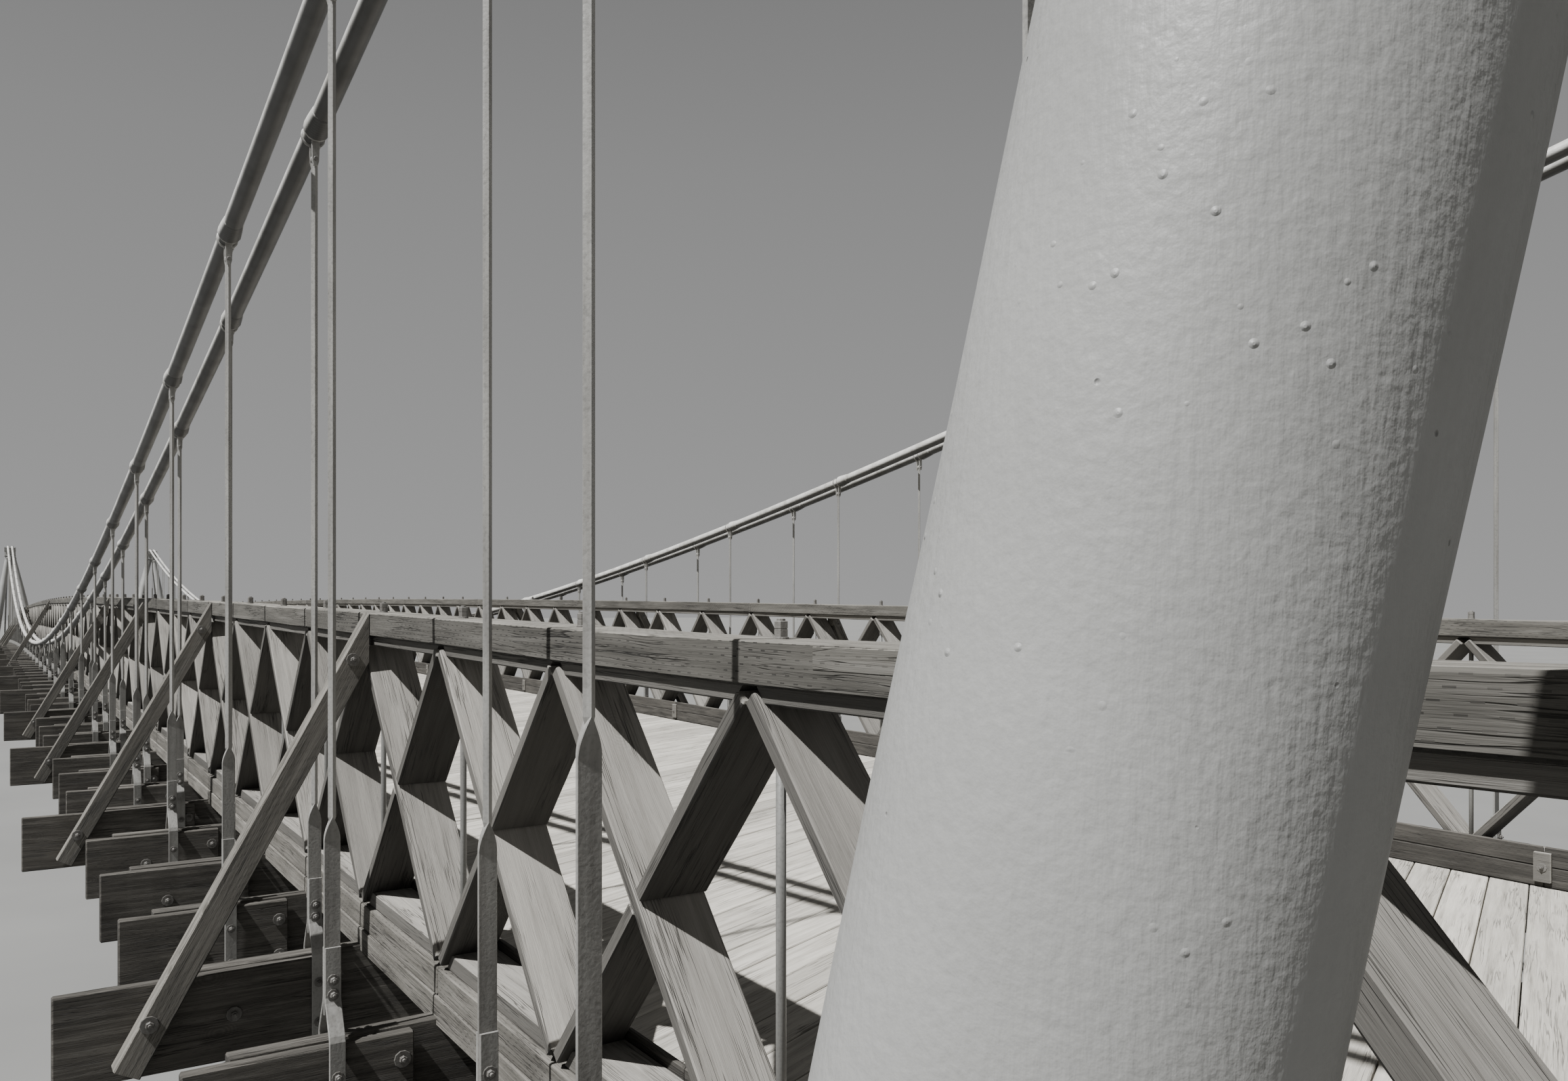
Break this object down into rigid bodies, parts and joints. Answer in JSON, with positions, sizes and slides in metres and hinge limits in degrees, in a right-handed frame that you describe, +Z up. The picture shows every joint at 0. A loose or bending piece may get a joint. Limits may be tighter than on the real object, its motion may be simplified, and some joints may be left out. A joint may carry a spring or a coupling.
{
  "type": "suspension footbridge, 1:10 scale model",
  "caption": "Scale model of a suspension footbridge: a plank-trussed timber deck hung from paired wire cables over splayed cast-iron towers.",
  "frame": {"origin": "centre of the footprint at ground level, under mid-span", "axes": "+X along the bridge from the start bank to the end bank, +Y across it to the left side, +Z up"},
  "size_m": [10.4096, 0.892, 0.6647],
  "materials": {
    "timber": "weathered",
    "web_planks": "weathered",
    "planking": "bleached",
    "cast_iron": "painted, rough",
    "painted_wire": "satin",
    "masonry": "rough"
  },
  "bodies": {
    "root": {"floor_frame_1": "timber", "floor_frame_2": "timber", "floor_frame_3": "timber", "deck_planking": "planking", "truss_left_web_1": "web_planks", "truss_left_web_2": "web_planks", "truss_left_web_3": "web_planks", "truss_left_top_chord": "timber", "truss_right_web_1": "web_planks", "truss_right_web_2": "web_planks", "truss_right_web_3": "web_planks", "truss_right_top_chord": "timber", "cable_left_outer": "painted_wire", "cable_left_inner": "painted_wire", "cable_right_outer": "painted_wire", "cable_right_inner": "painted_wire", "tower_start_left_leg_span_outer": "cast_iron", "tower_start_left_leg_span_inner": "cast_iron", "tower_start_left_leg_bank_outer": "cast_iron", "tower_start_left_leg_bank_inner": "cast_iron", "tower_start_left_crown": "cast_iron", "tower_start_right_leg_span_outer": "cast_iron", "tower_start_right_leg_span_inner": "cast_iron", "tower_start_right_leg_bank_outer": "cast_iron", "tower_start_right_leg_bank_inner": "cast_iron", "tower_start_right_crown": "cast_iron", "tower_end_left_leg_span_outer": "cast_iron", "tower_end_left_leg_span_inner": "cast_iron", "tower_end_left_leg_bank_outer": "cast_iron", "tower_end_left_leg_bank_inner": "cast_iron", "tower_end_left_crown": "cast_iron", "tower_end_right_leg_span_outer": "cast_iron", "tower_end_right_leg_span_inner": "cast_iron", "tower_end_right_leg_bank_outer": "cast_iron", "tower_end_right_leg_bank_inner": "cast_iron", "tower_end_right_crown": "cast_iron", "abutment_start": "masonry", "abutment_end": "masonry", "anchor_block_start_left": "masonry", "anchor_block_start_right": "masonry", "anchor_block_end_left": "masonry", "anchor_block_end_right": "masonry"}
  },
  "joints": []
}
